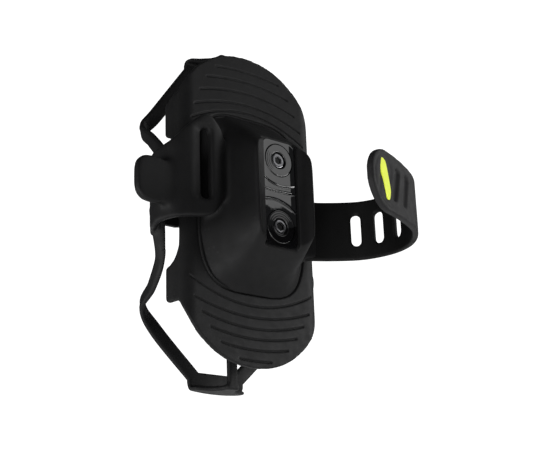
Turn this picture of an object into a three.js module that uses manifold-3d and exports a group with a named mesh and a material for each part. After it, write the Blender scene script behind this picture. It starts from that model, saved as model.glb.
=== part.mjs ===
// A silicone bicycle mount that straps to a tube and holds a phone with a power bank behind it.
// Millimetres. The tube lies along Z through the origin, the phone's long side is along Z,
// the screen faces -Y, and the strap leaves on the -X side and hooks on the buckle on the +X side.
import * as THREE from 'three';
import { mergeVertices } from 'three/addons/utils/BufferGeometryUtils.js';
import Module from 'manifold-3d';

const wasm = await Module();
wasm.setup();

// ---- driving dimensions -------------------------------------------------------------------
const GAP = 0.3; // clearance between neighbouring pieces
const TUBE_RADIUS = 20; // largest tube that the saddle takes
const PACK = { width: 70.6, depth: 12.6 }; // the power bank, with full-round long sides
const PHONE = { width: 73.9, height: 147.8, depth: 7.2, lift: 0.9 }; // lift is its centre's Z
const PAD = { skin: 2, halfHeight: 69.1, halfWidth: 45.5, edge: 35.3, outerFace: -39.1 };
const WING = {
  reach: 43.4, upper: [25, 41], lower: [-30.3, -45.5], fillet: 11, tipFrom: 0.68, tipRadius: 2.6,
};
const SPINE = { gap: 5.3, neck: 4.6, strap: 2.4, padHalfWidth: 15 };
const BAND = { width: 6.4, thickness: 2.2 };
const FOOT = { halfWidth: 14.6, sole: 2.2, rim: 8.6 };
const HUB = { lip: 12.8, top: -15.4, base: -38.8 };
const INSERT = { thickness: 2.2, halfLength: 23 };
const EYE = { spacing: 29, radius: 7.1 };
const CORE = { halfWidth: 10, halfLength: 21.7, front: -30, back: -24.3 };
const BUCKLE = { thickness: 3.4, slotX: 29.8, slotZ: 9.2, slotWidth: 6, slotLength: 30.4 };
const TONGUE = { rootX: 48.4, tipX: 61.2, z: 0.1, halfWidth: 8.6, thickness: 3.5, y: -33.4 };
const ARM = { thickness: 2.6 };
const STRAP = { z: -7.5, halfWidth: 13.2, thickness: 2.6, slotWidth: 5.4, slotLength: 14.5 };
const STRAP_HINGES = [7, 17.5, 28.2, 38.9, 49.6, 62, 74]; // arc lengths from the hub's flank
const SLOTTED_LINKS = [2, 3, 4];
const TAB = { thickness: 3, halfWidth: 12.4, roundFrom: 99, roundReach: 13.6 };
const INLAY = { at: 101.6, width: 5.6, length: 18.2, depth: 1.2 };
const GRIPS = [84, 92.6]; // arc lengths of the two grip grooves
const GRIP = { width: 3.2, length: 15.4, depth: 0.7 };
const SLANT = THREE.MathUtils.degToRad(9); // lean of the tab's inlay and grooves toward the tip

// The strap's middle line, from the hub's flank round the tube to the tip.
const STRAP_ROUTE = [
  [-25.5, -35.4], [-34.9, -30.2], [-45.5, -21.4], [-50.3, -10.4], [-50.2, -0.4],
  [-46, 9.2], [-37, 18.6], [-24.8, 25], [-9, 30.6], [1.6, 34.4],
];

const packRadius = PACK.depth / 2;
const packFlat = PACK.width / 2 - packRadius; // half the width of the pack's flat face
const packY = PAD.outerFace - PAD.skin - packRadius;
const spineBack = packY - packRadius;
const phoneBack = spineBack - SPINE.gap;
const phoneFront = phoneBack - PHONE.depth;
const phoneTop = PHONE.lift + PHONE.height / 2;
const phoneBottom = PHONE.lift - PHONE.height / 2;
const sideX = PHONE.width / 2 + BAND.thickness / 2 + 0.15; // middle of a band on the phone's side
const screenY = phoneFront - BAND.thickness / 2 - 0.15; // middle of a band on the screen side

// ---- materials ------------------------------------------------------------------------------
const material = (color, roughness, metalness = 0) =>
  new THREE.MeshStandardMaterial({ color, roughness, metalness });
const silicone = () => material('#29292b', 0.72);
const softSilicone = () => material('#353331', 0.62);
const glossBlack = () => material('#0c0c0e', 0.12);
const steel = () => material('#3a3b3e', 0.3, 0.9);
const brass = () => material('#b08d4a', 0.35, 0.95);
const nylon = () => material('#1c1c1e', 0.55);
const accent = () => material('#dce834', 0.5);

// ---- solids ---------------------------------------------------------------------------------
function toSolid(geometry) {
  const bare = geometry.clone();
  bare.deleteAttribute('normal');
  bare.deleteAttribute('uv');
  const merged = mergeVertices(bare, 1e-4);
  return new wasm.Manifold(new wasm.Mesh({
    numProp: 3,
    vertProperties: new Float32Array(merged.attributes.position.array),
    triVerts: new Uint32Array(merged.index.array),
  }));
}

function toGeometry(body) {
  const { vertProperties, triVerts, numProp } = body.getMesh();
  const positions = new Float32Array((vertProperties.length / numProp) * 3);
  for (let i = 0; i < positions.length / 3; i += 1) {
    for (let k = 0; k < 3; k += 1) positions[3 * i + k] = vertProperties[numProp * i + k];
  }
  const geometry = new THREE.BufferGeometry();
  geometry.setAttribute('position', new THREE.BufferAttribute(positions, 3));
  geometry.setIndex(new THREE.BufferAttribute(new Uint32Array(triVerts), 1));
  geometry.computeVertexNormals();
  return geometry;
}

const cut = (body, ...tools) => tools.reduce((rest, tool) => rest.subtract(tool), body);
const join = (first, ...others) => others.reduce((whole, other) => whole.add(other), first);

// Moves every vertex of a geometry to place(x, y, z).
function reshape(geometry, place) {
  const p = geometry.attributes.position;
  for (let i = 0; i < p.count; i += 1) {
    const { x, y, z } = place(p.getX(i), p.getY(i), p.getZ(i));
    p.setXYZ(i, x, y, z);
  }
  return geometry;
}

const spread = (low, high, share) => low + (high - low) * share;

// Reads a smooth line through [x, y] points as y at a given x.
function throughPoints(points) {
  const curve = new THREE.SplineCurve(points.map(([x, y]) => new THREE.Vector2(x, y)));
  const table = curve.getPoints(80);
  return (x) => {
    const i = Math.max(1, Math.min(table.length - 1, table.findIndex((q) => q.x >= x)));
    const a = table[i - 1];
    const b = table[i];
    return spread(a.y, b.y, THREE.MathUtils.clamp((x - a.x) / (b.x - a.x), 0, 1));
  };
}

// A wall that follows a track: track(s) gives a middle point and an outward normal in the XY
// plane, depth runs along the normal, and low(s) and high(s) are the wall's two Z edges.
function wall({ track, from, to, inner, outer, low, high, steps }) {
  return toSolid(reshape(new THREE.BoxGeometry(1, 1, 1, steps, 1, 1), (x, y, z) => {
    const s = spread(from, to, x + 0.5);
    const { point, normal } = track(s);
    const depth = spread(inner, outer, y + 0.5);
    return {
      x: point.x + normal.x * depth,
      y: point.y + normal.y * depth,
      z: spread(low(s), high(s), z + 0.5),
    };
  }));
}

// A rod of the given radius along Z.
function rod(x, y, low, high, radius, sides = 16) {
  const geometry = new THREE.CylinderGeometry(radius, radius, high - low, sides);
  return toSolid(geometry.rotateX(Math.PI / 2).translate(x, y, (low + high) / 2));
}

// A rod of the given radius along Y.
function stud(x, z, low, high, radius, sides = 32) {
  const geometry = new THREE.CylinderGeometry(radius, radius, high - low, sides);
  return toSolid(geometry.translate(x, (low + high) / 2, z));
}

function block(x0, x1, y0, y1, z0, z1) {
  const geometry = new THREE.BoxGeometry(x1 - x0, y1 - y0, z1 - z0);
  return toSolid(geometry.translate((x0 + x1) / 2, (y0 + y1) / 2, (z0 + z1) / 2));
}

function roundedOutline(halfWidth, halfHeight, radius) {
  const shape = new THREE.Shape();
  shape.moveTo(halfWidth, -halfHeight + radius);
  shape.lineTo(halfWidth, halfHeight - radius);
  shape.absarc(halfWidth - radius, halfHeight - radius, radius, 0, Math.PI / 2);
  shape.absarc(-halfWidth + radius, halfHeight - radius, radius, Math.PI / 2, Math.PI);
  shape.absarc(-halfWidth + radius, -halfHeight + radius, radius, Math.PI, 1.5 * Math.PI);
  shape.absarc(halfWidth - radius, -halfHeight + radius, radius, 1.5 * Math.PI, 2 * Math.PI);
  return shape;
}

// An outline in the XZ plane, given thickness from y0 to y1.
function slab(shape, y0, y1, x = 0, z = 0) {
  const options = { depth: y1 - y0, bevelEnabled: false, curveSegments: 10 };
  const geometry = new THREE.ExtrudeGeometry(shape, options);
  return toSolid(geometry.rotateX(Math.PI / 2).translate(x, y1, z));
}

// An outline in the XY plane, given height from z0 to z1.
function prism(shape, z0, z1) {
  const options = { depth: z1 - z0, bevelEnabled: false, curveSegments: 10 };
  return toSolid(new THREE.ExtrudeGeometry(shape, options).translate(0, 0, z0));
}

// A disc or ring turned about an axis along Y, at height z.
function turned(profile, z, sides = 36) {
  const points = profile.map(([radius, y]) => new THREE.Vector2(radius, y));
  return toSolid(new THREE.LatheGeometry(points, sides).translate(0, 0, z));
}

// A flat strip along a curve in space. normals are the strip's outward directions at its points.
function strip(points, normals, width, thickness, steps = 24) {
  const curve = new THREE.CatmullRomCurve3(points, false, 'centripetal');
  const facing = new THREE.CatmullRomCurve3(normals, false, 'centripetal');
  return toSolid(reshape(new THREE.BoxGeometry(1, 1, 1, 1, 1, steps), (x, y, z) => {
    const t = z + 0.5;
    const along = curve.getTangent(t);
    const out = facing.getPoint(t);
    out.addScaledVector(along, -out.dot(along)).normalize();
    const across = new THREE.Vector3().crossVectors(out, along);
    return curve.getPoint(t).addScaledVector(across, x * width).addScaledVector(out, y * thickness);
  }));
}

// A large block whose near face passes through a point and faces against a direction.
function beyond(point, direction, size = 60) {
  const geometry = new THREE.BoxGeometry(size, size, size).translate(0, 0, size / 2);
  const turn = new THREE.Quaternion().setFromUnitVectors(new THREE.Vector3(0, 0, 1), direction);
  return toSolid(geometry.applyQuaternion(turn).translate(point.x, point.y, point.z));
}

const mirrored = (body) => body.mirror([1, 0, 0]);
const vec = (x, y, z) => new THREE.Vector3(x, y, z);

const mount = new THREE.Group();
function add(name, body, look) {
  const mesh = new THREE.Mesh(toGeometry(body), look);
  mesh.name = name;
  mount.add(mesh);
}

// ---- back pad and its wings ------------------------------------------------------------------
// The pad's outer surface is measured by s, the length round the pack's flat face and round side.
function packTrack(s) {
  const beyondFlat = Math.max(0, Math.abs(s) - packFlat);
  const angle = beyondFlat / (packRadius + PAD.skin);
  const side = Math.sign(s);
  const reach = Math.min(Math.abs(s), packFlat);
  return {
    point: { x: side * (reach + packRadius * Math.sin(angle)), y: packY + packRadius * Math.cos(angle) },
    normal: { x: side * Math.sin(angle), y: Math.cos(angle) },
  };
}
const padHeight = (s) => PAD.halfHeight * Math.sqrt(1 - (s / PAD.halfWidth) ** 2);

function makePad() {
  return wall({
    track: packTrack, from: -PAD.edge, to: PAD.edge, inner: 0, outer: PAD.skin,
    low: (s) => -padHeight(s), high: padHeight, steps: 40,
  });
}

// A wing's waist edge sweeps out in a fillet and turns in again at the rounded tip. Its far edge
// carries on from the pad's outline.
function makeWing([waist, far]) {
  const radius = PAD.skin / 2;
  const axis = PAD.edge + GAP + radius;
  const side = Math.sign(far);
  const share = (s) => THREE.MathUtils.clamp((s - axis) / (WING.reach - axis), 0, 1);
  const sweep = (left, depth) => depth * (1 - Math.sqrt(1 - THREE.MathUtils.clamp(left, 0, 1) ** 2));
  const tip = (s) => sweep((share(s) - WING.tipFrom) / (1 - WING.tipFrom), WING.tipRadius);
  const near = (s) => waist + side * (tip(s) - sweep(1 - share(s) / 0.8, WING.fillet));
  const end = (s) => spread(side * padHeight(PAD.edge), far, Math.min(1, share(s) * 1.6))
    - side * 0.5 * tip(s);
  const [low, high] = side > 0 ? [near, end] : [end, near];
  const leaf = wall({
    track: packTrack, from: axis, to: WING.reach, inner: 0, outer: PAD.skin, low, high, steps: 14,
  });
  const { point, normal } = packTrack(axis);
  const barrel = rod(point.x + normal.x * radius, point.y + normal.y * radius,
    low(axis), high(axis), radius);
  return join(leaf, barrel);
}

// ---- hub --------------------------------------------------------------------------------------
// Sections of the hub from its base to its top: [y, half width, half height, squareness].
const HUB_SECTIONS = [
  [HUB.base, 27.5, 39.2, 3.7], [-36.5, 24.6, 36.6, 3.8], [-31, 20.6, 32.4, 4.2],
  [-25.5, 17.8, 28.2, 5], [-20, 15.8, 23.4, 6.5], [-16.4, 14.7, 19.4, 8], [HUB.top, 13.1, 17.6, 8],
];

function makeDome(grow = 0, sides = 56) {
  const levels = HUB_SECTIONS.length - 1;
  return toSolid(reshape(new THREE.CylinderGeometry(1, 1, 1, sides, levels), (x, y, z) => {
    const [height, halfWidth, halfHeight, power] = HUB_SECTIONS[Math.round((y + 0.5) * levels)];
    const lift = y > 0.499 ? grow : 0;
    const swell = (q) => (Math.abs(q) < 1e-6 ? 0 : Math.sign(q) * Math.abs(q) ** (2 / power));
    return {
      x: swell(x) * (halfWidth + grow),
      y: height + lift,
      z: swell(z) * (halfHeight + grow),
    };
  }));
}

function makeHub() {
  const tube = rod(0, 0, -60, 60, TUBE_RADIUS, 96);
  const recess = rod(0, 0, -INSERT.halfLength - GAP, INSERT.halfLength + GAP,
    TUBE_RADIUS + INSERT.thickness + GAP, 96)
    .intersect(block(-HUB.lip, HUB.lip, -40, 0, -60, 60));
  const pocket = block(-CORE.halfWidth - GAP, CORE.halfWidth + GAP, CORE.front - GAP, 0,
    -CORE.halfLength - GAP, CORE.halfLength + GAP);
  return cut(makeDome(), tube, recess, pocket);
}

function makeInsert() {
  const halfWidth = HUB.lip - GAP;
  const plate = rod(0, 0, -INSERT.halfLength, INSERT.halfLength, TUBE_RADIUS + INSERT.thickness, 96)
    .intersect(block(-halfWidth, halfWidth, -40, 0, -60, 60))
    .intersect(makeDome(-GAP))
    .subtract(rod(0, 0, -60, 60, TUBE_RADIUS, 96));
  const eyes = [-1, 1].map((side) => stud(0, side * EYE.spacing / 2, -30, 0, EYE.radius + GAP, 40));
  return cut(plate, ...eyes);
}

function makeCore() {
  const plate = slab(roundedOutline(CORE.halfWidth, CORE.halfLength, 3), CORE.front, CORE.back);
  const bores = [-1, 1].map((side) => stud(0, side * EYE.spacing / 2, -32, -20, 2.7, 24));
  return cut(plate, ...bores);
}

const collarBack = -TUBE_RADIUS;
const screwSeat = -22.4;
const makeCollar = (z) => turned([
  [1.9, -24], [EYE.radius, -24], [EYE.radius, collarBack - 0.3], [EYE.radius - 0.3, collarBack],
  [3.6, collarBack], [3.6, screwSeat], [1.9, screwSeat], [1.9, -24],
], z);
const makeScrew = (z) => cut(turned([
  [0, -29.4], [1.5, -29.4], [1.5, screwSeat + GAP], [3.2, screwSeat + GAP], [3.2, -21],
  [2.5, -20.5], [0, -20.5],
], z, 28), stud(0, z, -21.6, -20, 1.15, 6));
const makeThreadedInsert = (z) => turned([
  [1.8, -29.7], [2.4, -29.7], [2.4, -24.6], [1.8, -24.6], [1.8, -29.7],
], z, 20);

// ---- buckle, tongue and arms --------------------------------------------------------------------
function planTrack(points) {
  const curve = new THREE.SplineCurve(points.map(([x, y]) => new THREE.Vector2(x, y)));
  return (s) => {
    const tangent = curve.getTangentAt(s);
    return { point: curve.getPointAt(s), normal: { x: -tangent.y, y: tangent.x } };
  };
}

function makeBuckle() {
  const track = planTrack([[16, -29.3], [25, -29.1], [34, -29.4], [39.8, -30.9], [44.2, -33.8]]);
  const upper = throughPoints([[16, 12], [20.4, 20.5], [24, 27.6], [30, 30.8], [35, 28.2],
    [39.5, 23.8], [44.4, 17.6]]);
  const lower = throughPoints([[16, 5], [20.6, -2], [25.4, -10], [32, -13.4], [44.4, -14.8]]);
  const plate = wall({
    track, from: 0, to: 1, inner: -BUCKLE.thickness / 2, outer: BUCKLE.thickness / 2,
    low: (s) => lower(track(s).point.x), high: (s) => upper(track(s).point.x), steps: 30,
  });
  const slot = slab(roundedOutline(BUCKLE.slotWidth / 2, BUCKLE.slotLength / 2, 2.8), -36, -22,
    BUCKLE.slotX, BUCKLE.slotZ);
  return cut(plate, makeDome(GAP), slot);
}

function makeTongue() {
  const length = TONGUE.tipX - TONGUE.rootX;
  const shape = new THREE.Shape();
  shape.moveTo(0, -TONGUE.halfWidth);
  shape.lineTo(length - 7, -TONGUE.halfWidth);
  shape.bezierCurveTo(length, -TONGUE.halfWidth, length, -5, length, 0);
  shape.bezierCurveTo(length, 5, length, TONGUE.halfWidth, length - 7, TONGUE.halfWidth);
  shape.lineTo(0, TONGUE.halfWidth);
  const half = TONGUE.thickness / 2;
  const leaf = slab(shape, TONGUE.y - half, TONGUE.y + half, TONGUE.rootX, TONGUE.z);
  const barrel = rod(TONGUE.rootX, TONGUE.y, TONGUE.z - TONGUE.halfWidth,
    TONGUE.z + TONGUE.halfWidth, half);
  return join(leaf, barrel);
}

// The corner bands run from an arm's leg, over the phone's long edge, to a foot on the screen side.
function bandRoute(side) {
  const start = side > 0 ? vec(sideX + 0.2, packY - 2, 18.5) : vec(sideX + 0.7, packY - 2.8, -27.4);
  const corner = side > 0 ? 35.6 : -42.2;
  const points = [
    start,
    vec(sideX, packY - 9.5, side > 0 ? 27.2 : -36.2),
    vec(sideX - 1.5, screenY + 1.2, corner),
    vec(sideX - 9, screenY, corner + side * 9.5),
    vec(12.5, screenY, side > 0 ? 68.5 : -67.5),
  ];
  const normals = [vec(1, 0, 0), vec(1, -0.1, 0), vec(0.7, -0.7, 0), vec(0, -1, 0), vec(0, -1, 0)];
  const end = points[points.length - 1];
  return { points, normals, start, end, chord: end.clone().sub(start).normalize() };
}

function makeBand(side) {
  const { points, normals, start, end, chord } = bandRoute(side);
  const length = (vector, reach) => vector.clone().multiplyScalar(reach);
  const first = points[0].clone().sub(length(points[1].clone().sub(points[0]).normalize(), 5));
  const last = end.clone().add(length(end.clone().sub(points[3]).normalize(), 5));
  const whole = strip([first, ...points.slice(1, 4), last], normals, BAND.width, BAND.thickness, 28);
  return cut(whole,
    beyond(start, chord.clone().negate(), 40),
    beyond(end, chord, 40));
}

function makeBuckleArm() {
  const track = planTrack([[44.65, -34.35], [46.9, -39.2], [45, -45.6], [41.4, -50.6], [38.9, -55.2]]);
  const upper = throughPoints([[0, 17.2], [0.3, 14.4], [0.7, 14], [1, 15]]);
  const lower = throughPoints([[0, -14.9], [0.35, -16.2], [0.7, -16.5], [1, -18]]);
  const half = ARM.thickness / 2;
  return wall({ track, from: 0, to: 1, inner: -half, outer: half, low: lower, high: upper, steps: 18 });
}

function makeStrapSideArm() {
  const start = PAD.edge + 2 * GAP;
  const wrap = wall({
    track: packTrack, from: start, to: 43.6, inner: GAP, outer: GAP + ARM.thickness,
    low: () => -16, high: () => 13.5, steps: 8,
  });
  const { point, normal } = packTrack(43.6);
  const half = ARM.thickness / 2;
  const track = planTrack([
    [point.x + normal.x * (GAP + half), point.y + normal.y * (GAP + half)],
    [38.9, -50.6], [38.9, -55.2],
  ]);
  const side = wall({
    track, from: 0, to: 1, inner: -half, outer: half, low: () => -16, high: () => 13.5, steps: 4,
  });
  return join(wrap, side);
}

// Legs carry an arm on to the starts of its two corner bands.
function withLegs(arm) {
  const legs = [-1, 1].map((side) => {
    const { start, chord } = bandRoute(side);
    const past = start.clone().addScaledVector(chord, 5);
    const root = vec(sideX + 1.6, packY - 4.6, side > 0 ? 6 : -9);
    const knee = vec(sideX + 0.9, packY - 3.6, side > 0 ? 12.5 : -21);
    const normals = [vec(1, 0.3, 0), vec(1, 0.2, 0), vec(1, 0, 0), vec(1, 0, 0)];
    const leg = strip([root, knee, start, past], normals, BAND.width, BAND.thickness, 16);
    return cut(leg, beyond(start.clone().addScaledVector(chord, -GAP), chord, 40));
  });
  return join(arm, ...legs);
}

// ---- cradle between the pack and the phone ------------------------------------------------------
// The spine is a thin strap on the pack's front that thickens in the middle to a cushion between
// the pack and the phone.
function makeSpine() {
  const half = SPINE.neck / 2;
  const run = slab(roundedOutline(half, (phoneTop - phoneBottom) / 2 - 1.5, 0.5),
    spineBack - GAP - SPINE.strap, spineBack - GAP, 0, PHONE.lift);
  const cushion = slab(roundedOutline(SPINE.padHalfWidth, 16, 7), phoneBack, spineBack - GAP, 0, -1);
  return join(run, cushion);
}

function makeCrossArm() {
  const inner = SPINE.padHalfWidth + GAP;
  const outer = 37.2;
  const shape = roundedOutline((outer - inner) / 2, 9, 1.5);
  return slab(shape, spineBack - GAP - SPINE.strap, spineBack - GAP, (inner + outer) / 2, -1);
}

// A foot goes under the phone's short edge and turns up on the screen side in a cross bar.
function makeFoot(side) {
  const face = side > 0 ? phoneTop : phoneBottom;
  const half = SPINE.neck / 2 + 0.6;
  const rimFront = screenY - BAND.thickness / 2;
  const rimBack = screenY + BAND.thickness / 2;
  const neckFront = spineBack - GAP - SPINE.strap;
  const sole = new THREE.Shape();
  sole.moveTo(-half, spineBack - GAP);
  sole.lineTo(-half, phoneBack);
  sole.quadraticCurveTo(-half, rimBack + 4, -FOOT.halfWidth, rimBack + 1.5);
  sole.lineTo(-FOOT.halfWidth + 1.5, rimFront);
  sole.lineTo(FOOT.halfWidth - 1.5, rimFront);
  sole.lineTo(FOOT.halfWidth, rimBack + 1.5);
  sole.quadraticCurveTo(half, rimBack + 4, half, phoneBack);
  sole.lineTo(half, spineBack - GAP);
  const [z0, z1] = side > 0
    ? [face + 0.2, face + 0.2 + FOOT.sole] : [face - 0.2 - FOOT.sole, face - 0.2];
  const plate = prism(sole, z0, z1);
  const neck = block(-half, half, neckFront, spineBack - GAP,
    ...(side > 0 ? [face - 1.5 + GAP, z1] : [z0, face + 1.5 - GAP]));
  const rim = slab(roundedOutline(FOOT.halfWidth, FOOT.rim / 2, 4), rimFront, rimBack, 0,
    side > 0 ? z1 - FOOT.rim / 2 : z0 + FOOT.rim / 2);
  const { end, chord } = bandRoute(side);
  const stop = beyond(end.clone().addScaledVector(chord, GAP), chord.clone().negate(), 40);
  return cut(join(plate, neck, rim), stop, mirrored(stop));
}

// ---- strap ---------------------------------------------------------------------------------------
const strapCurve = new THREE.SplineCurve(STRAP_ROUTE.map(([x, y]) => new THREE.Vector2(x, y)));
strapCurve.arcLengthDivisions = 600;
const strapLength = strapCurve.getLength();
function strapTrack(s) {
  const tangent = strapCurve.getTangentAt(s / strapLength);
  return { point: strapCurve.getPointAt(s / strapLength), normal: { x: -tangent.y, y: tangent.x } };
}
const strapLow = STRAP.z - STRAP.halfWidth;
const strapHigh = STRAP.z + STRAP.halfWidth;

// A stretch of strap that starts in a round barrel on its hinge axis.
function makeLink(from, to, thickness, high = () => strapHigh, low = () => strapLow) {
  const half = thickness / 2;
  const leaf = wall({
    track: strapTrack, from, to, inner: -half, outer: half,
    low, high, steps: Math.ceil((to - from) / 2),
  });
  const { point } = strapTrack(from);
  return join(leaf, rod(point.x, point.y, low(from), high(from), half));
}

// A stadium-shaped plug across the strap at arc length s, from one depth to another.
function strapPlug(s, width, length, inner, outer, slant = 0, z = STRAP.z) {
  const { point, normal } = strapTrack(s);
  const shape = roundedOutline(width / 2, length / 2, width / 2 - 0.01);
  const options = { depth: outer - inner, bevelEnabled: false, curveSegments: 8 };
  const geometry = new THREE.ExtrudeGeometry(shape, options).translate(0, 0, inner);
  const out = vec(normal.x, normal.y, 0);
  const up = vec(0, 0, 1).applyAxisAngle(out, slant);
  const along = new THREE.Vector3().crossVectors(up, out);
  geometry.applyMatrix4(new THREE.Matrix4().makeBasis(along, up, out));
  return toSolid(geometry.translate(point.x, point.y, z));
}

function makeStrapRoot() {
  const half = STRAP.thickness / 2;
  const stub = wall({
    track: strapTrack, from: 0, to: STRAP_HINGES[0] - half - GAP, inner: -half - 0.5, outer: half + 0.5,
    low: () => strapLow, high: () => strapHigh, steps: 4,
  });
  return cut(stub, makeDome(GAP));
}

function makeStrapLink(number) {
  const from = STRAP_HINGES[number - 1];
  const to = STRAP_HINGES[number] - STRAP.thickness / 2 - GAP;
  const link = makeLink(from, to, STRAP.thickness);
  if (!SLOTTED_LINKS.includes(number)) return link;
  const middle = (from + STRAP_HINGES[number]) / 2;
  return cut(link, strapPlug(middle, STRAP.slotWidth, STRAP.slotLength, -6, 6));
}

const tabZ = strapLow + TAB.halfWidth; // the tab keeps the strap's lower edge and is a little narrower
function makeTab() {
  const halfWidth = (s) => {
    const past = Math.max(0, s - TAB.roundFrom) / TAB.roundReach;
    return TAB.halfWidth * Math.sqrt(Math.max(0.12, 1 - past ** 2));
  };
  const half = TAB.thickness / 2;
  const tab = makeLink(STRAP_HINGES[6], strapLength, TAB.thickness,
    (s) => tabZ + halfWidth(s), (s) => tabZ - halfWidth(s));
  const seat = strapPlug(INLAY.at, INLAY.width, INLAY.length, half - INLAY.depth, half + 3, SLANT, tabZ);
  const grips = GRIPS.map((s) => strapPlug(s, GRIP.width, GRIP.length, half - GRIP.depth, half + 3,
    SLANT, tabZ));
  return cut(tab, seat, ...grips);
}

function makeInlay() {
  const half = TAB.thickness / 2;
  return strapPlug(INLAY.at, INLAY.width - 2 * GAP, INLAY.length - 2 * GAP,
    half - INLAY.depth + GAP, half + 0.1, SLANT, tabZ);
}

// ---- assembly --------------------------------------------------------------------------------------
add('back_pad', makePad(), silicone());
add('wing_upper_buckle_side', makeWing(WING.upper), silicone());
add('wing_lower_buckle_side', makeWing(WING.lower), silicone());
add('wing_upper_strap_side', mirrored(makeWing(WING.upper)), silicone());
add('wing_lower_strap_side', mirrored(makeWing(WING.lower)), silicone());

add('hub_housing', makeHub(), silicone());
add('saddle_insert', makeInsert(), glossBlack());
add('core_plate', makeCore(), nylon());
for (const [name, z] of [['upper', EYE.spacing / 2], ['lower', -EYE.spacing / 2]]) {
  add(`screw_collar_${name}`, makeCollar(z), glossBlack());
  add(`saddle_screw_${name}`, makeScrew(z), steel());
  add(`threaded_insert_${name}`, makeThreadedInsert(z), brass());
}

add('buckle_frame', makeBuckle(), silicone());
add('hook_tongue', makeTongue(), silicone());
add('side_arm_buckle_side', withLegs(makeBuckleArm()), silicone());
add('side_arm_strap_side', mirrored(withLegs(makeStrapSideArm())), silicone());

add('cradle_spine', makeSpine(), silicone());
add('cross_arm_buckle_side', makeCrossArm(), silicone());
add('cross_arm_strap_side', mirrored(makeCrossArm()), silicone());
for (const [name, side] of [['upper', 1], ['lower', -1]]) {
  add(`${name === 'upper' ? 'top' : 'bottom'}_foot`, makeFoot(side), silicone());
  add(`corner_band_${name}_buckle_side`, makeBand(side), softSilicone());
  add(`corner_band_${name}_strap_side`, mirrored(makeBand(side)), softSilicone());
}

add('strap_root', makeStrapRoot(), softSilicone());
for (let number = 1; number < STRAP_HINGES.length; number += 1) {
  add(`strap_link_${number}`, makeStrapLink(number), softSilicone());
}
add('strap_tab', makeTab(), softSilicone());
add('accent_inlay', makeInlay(), accent());

export default mount;
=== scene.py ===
import math

import bmesh
import bpy
import numpy as np
from mathutils import Matrix, Vector


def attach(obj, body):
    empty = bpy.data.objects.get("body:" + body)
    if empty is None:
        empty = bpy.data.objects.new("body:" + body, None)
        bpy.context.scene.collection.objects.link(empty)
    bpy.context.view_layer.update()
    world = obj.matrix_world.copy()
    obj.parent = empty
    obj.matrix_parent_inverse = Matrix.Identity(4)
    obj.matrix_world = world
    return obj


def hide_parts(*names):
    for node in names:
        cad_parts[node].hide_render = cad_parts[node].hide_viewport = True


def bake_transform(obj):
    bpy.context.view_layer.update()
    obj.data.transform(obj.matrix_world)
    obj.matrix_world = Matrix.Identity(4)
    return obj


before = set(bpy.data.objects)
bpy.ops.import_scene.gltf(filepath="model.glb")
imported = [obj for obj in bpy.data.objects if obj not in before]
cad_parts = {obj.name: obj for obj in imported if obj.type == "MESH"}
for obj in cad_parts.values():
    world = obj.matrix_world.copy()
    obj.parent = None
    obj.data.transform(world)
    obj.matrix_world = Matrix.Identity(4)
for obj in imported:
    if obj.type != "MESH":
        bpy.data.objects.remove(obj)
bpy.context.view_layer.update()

MM = 0.001
SIDES = {"buckle_side": 1, "strap_side": -1}
LEVELS = {"upper": 1, "lower": -1}

# ---- dimensions, in millimetres in the part's frame -----------------------------------------
PACK_RADIUS, PACK_FLAT, PACK_Y = 6.3, 29.0, -47.4  # the power bank's round side and flat face
PAD_SKIN, PAD_HALF_HEIGHT, PAD_HALF_WIDTH = 2.0, 69.1, 45.5
PAD_FULLNESS = 2.2  # exponent of the pad's outline
PAD_EDGE = 36.0  # arc length of the pad's edge at the waist
PAD_RIM = 36.4  # arc length where the pad's rim turns into a wing's edge
WING_SEAM = 36.1  # arc length where a wing's own piece takes over from the pad
WING_TIP = 43.4
WINGS = {"upper": (25.0, 41.0), "lower": (-30.3, -45.5)}  # waist edge and far edge at the tip
HUB_TOP = -15.4
HUB_SECTIONS = [  # y, half width, half height, squareness
    (-39.4, 27.6, 39.3, 3.7), (-36.5, 24.6, 36.6, 3.8), (-31, 20.6, 32.4, 4.2),
    (-25.5, 17.9, 28.2, 5), (-20, 16.2, 23.4, 6.5), (-16.4, 15.3, 19.6, 8), (HUB_TOP, 14.2, 18.3, 8),
]
SADDLE_WALL = [  # x, y of the recess's side, which opens outward to the ridge
    (8.8, -18.5), (9.3, -18.25), (10.6, -17.9), (12, -17.2), (13.1, -16.3), (13.9, -15.5),
    (14.5, -15.0), (14.8, 30),
]
INSERT_DEPTH = 0.8  # how far the recess goes below the insert's face
INSERT_HALF = 8.5
EYE_Z, EYE_HOLE = 14.5, 7.35  # the collars' height and the radius of their holes in the insert
SCREW_FACE, SCREW_SHADE_FULL = -20.48, -20.64  # y where the painted shade in the socket starts and where it is full
STRAP_ROUTE = [
    (-25.5, -35.4), (-34.9, -30.2), (-45.5, -21.4), (-50.3, -10.4), (-50.2, -0.4),
    (-46, 9.2), (-37, 18.6), (-24.8, 25), (-9, 30.6), (1.6, 34.4),
]
STRAP_Z, STRAP_HALF, STRAP_THICK = -7.5, 13.2, 2.56
STRAP_SEAMS = [-2.5, 12.25, 22.85, 33.55, 44.25, 55.8, 68, 130]
SLOTS = [22.85, 33.55, 44.25]
TAB_HALF = 12.4
TAB_Z = STRAP_Z - STRAP_HALF + TAB_HALF
SLANT = math.radians(18)
TAB_ROUND, TAB_REACH = 99.0, 13.3  # arc length where the tab's round end starts, and its length
GRIP_GROOVES = (84, 92.6)  # arc lengths of the tab's two grip grooves
INLAY_AT, INLAY_HALF = 101.6, 2.85
TAB_PAINTED_LIGHT_FROM, TAB_PAINTED_LIGHT_TO = 54, 80  # arc lengths over which the strap turns to a paler tone, painted light on the tab end
TONGUE_CUT = 49.0  # x where the tongue's own piece takes over from the moulding
FOOT_HALF = 14.6
WEB_BACK, WEB_FRONT = -54.0, -56.4  # the cradle's two faces, towards the power bank and the phone


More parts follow.
